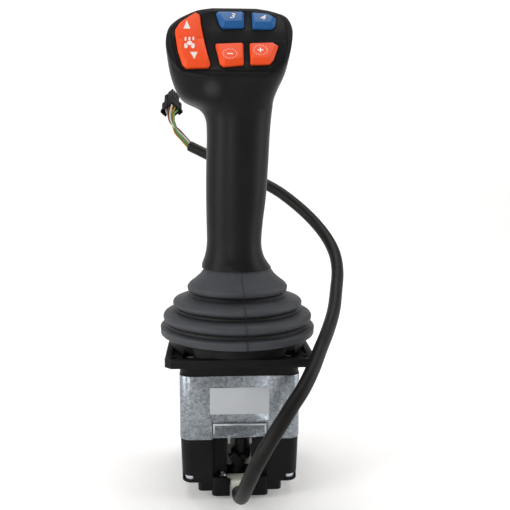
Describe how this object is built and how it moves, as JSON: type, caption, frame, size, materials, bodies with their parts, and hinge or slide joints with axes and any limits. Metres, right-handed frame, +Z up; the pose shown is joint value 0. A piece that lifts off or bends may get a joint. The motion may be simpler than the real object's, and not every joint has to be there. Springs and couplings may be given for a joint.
{
  "type": "industrial joystick",
  "caption": "Panel joystick with a shaped thumb-key grip, rubber boot, two-axis gimbal in a galvanised steel housing and a trailing lead.",
  "frame": {"origin": "centre of the flange's top face, which lies against the panel", "axes": "+Z up along the lever, -Y to the front where the keys and the lead's exit are, +X to the right seen from the front"},
  "size_m": [0.1351, 0.2224, 0.3081],
  "materials": {
    "black_plastic": "fine texture",
    "galvanised_steel": "hot-dip galvanised, fine spangle",
    "die_cast": "as cast",
    "grey_plate": "moulded",
    "steel": "zinc plated",
    "inner_plastic": "moulded",
    "bronze": "sintered",
    "circuit_board": "solder mask",
    "cable_jacket": "smooth jacket",
    "boot_rubber": "matt",
    "spring_steel": "drawn",
    "magnet": "sintered",
    "grip_plastic": "soft touch",
    "bezel_plastic": "fine texture",
    "switch_plastic": "moulded",
    "orange_key": "satin",
    "blue_key": "satin",
    "wire_insulation": "extruded",
    "connector_plastic": "moulded"
  },
  "bodies": {
    "base": {"flange_plate": "black_plastic", "housing_body": "galvanised_steel", "base_cover": "black_plastic", "rear_plate": "grey_plate", "clamp_plate": "grey_plate", "clamp_screw": "steel", "tie_bolts": "steel", "tie_nuts": "steel", "bearing_frame": "inner_plastic", "bearing_bushes": "bronze", "sensor_board_x": "circuit_board", "sensor_board_y": "circuit_board", "control_board": "circuit_board", "inner_cable": "cable_jacket", "cable_tie": "black_plastic", "boot": "boot_rubber", "gimbal_springs": "spring_steel", "bail_springs": "spring_steel", "lead": "cable_jacket", "lead_wires": "wire_insulation", "connector_housing": "connector_plastic"},
    "gimbal": {"gimbal_frame": "die_cast", "gimbal_axles": "steel", "gimbal_magnet": "magnet"},
    "bail": {"bail": "die_cast", "bail_axles": "steel", "bail_magnet": "magnet"},
    "lever": {"lever_shaft": "steel", "cross_pin": "steel", "lock_nut": "steel", "grip_core": "inner_plastic", "grip_front_shell": "grip_plastic", "grip_rear_shell": "grip_plastic", "grip_screws": "steel", "key_bezel": "bezel_plastic", "key_board": "circuit_board", "board_screws": "steel", "switch_bodies": "switch_plastic", "rocker_bracket": "inner_plastic", "rocker_pin": "steel"},
    "rocker": {"rocker_key": "orange_key"},
    "key_upper_left": {"upper_left_key": "blue_key"},
    "key_upper_right": {"upper_right_key": "blue_key"},
    "key_minus": {"minus_key": "orange_key"},
    "key_plus": {"plus_key": "orange_key"}
  },
  "joints": [
    {"name": "fore_aft_tilt", "type": "hinge", "parent": "base", "child": "gimbal", "pos_m": [0, 0, -0.02], "axis": [1, 0, 0], "range_deg": [-18, 18], "stiffness_Nm_per_rad": 3, "deforming": ["boot", "gimbal_springs"]},
    {"name": "side_tilt", "type": "hinge", "parent": "gimbal", "child": "lever", "pos_m": [0, 0, -0.02], "axis": [0, 1, 0], "range_deg": [-18, 18], "stiffness_Nm_per_rad": 3, "deforming": ["boot", "bail_springs"]},
    {"name": "bail_follow", "type": "hinge", "parent": "base", "child": "bail", "pos_m": [0, 0, -0.02], "axis": [0, 1, 0], "range_deg": [-18, 18], "deforming": ["bail_springs"]},
    {"name": "rocker_tilt", "type": "hinge", "parent": "lever", "child": "rocker", "pos_m": [-0.029, -0.01111, 0.18919], "axis": [1, 0, 0], "range_deg": [-5, 5], "stiffness_Nm_per_rad": 0.5},
    {"name": "upper_left_press", "type": "slide", "parent": "lever", "child": "key_upper_left", "axis": [0, 0.866, -0.5], "range_m": [0, 0.0012], "stiffness_N_per_m": 1500},
    {"name": "upper_right_press", "type": "slide", "parent": "lever", "child": "key_upper_right", "axis": [0, 0.866, -0.5], "range_m": [0, 0.0012], "stiffness_N_per_m": 1500},
    {"name": "minus_press", "type": "slide", "parent": "lever", "child": "key_minus", "axis": [0, 0.866, -0.5], "range_m": [0, 0.0012], "stiffness_N_per_m": 1500},
    {"name": "plus_press", "type": "slide", "parent": "lever", "child": "key_plus", "axis": [0, 0.866, -0.5], "range_m": [0, 0.0012], "stiffness_N_per_m": 1500}
  ],
  "couplings": [
    {"joint": "bail_follow", "follows": "side_tilt", "ratio": 1}
  ]
}
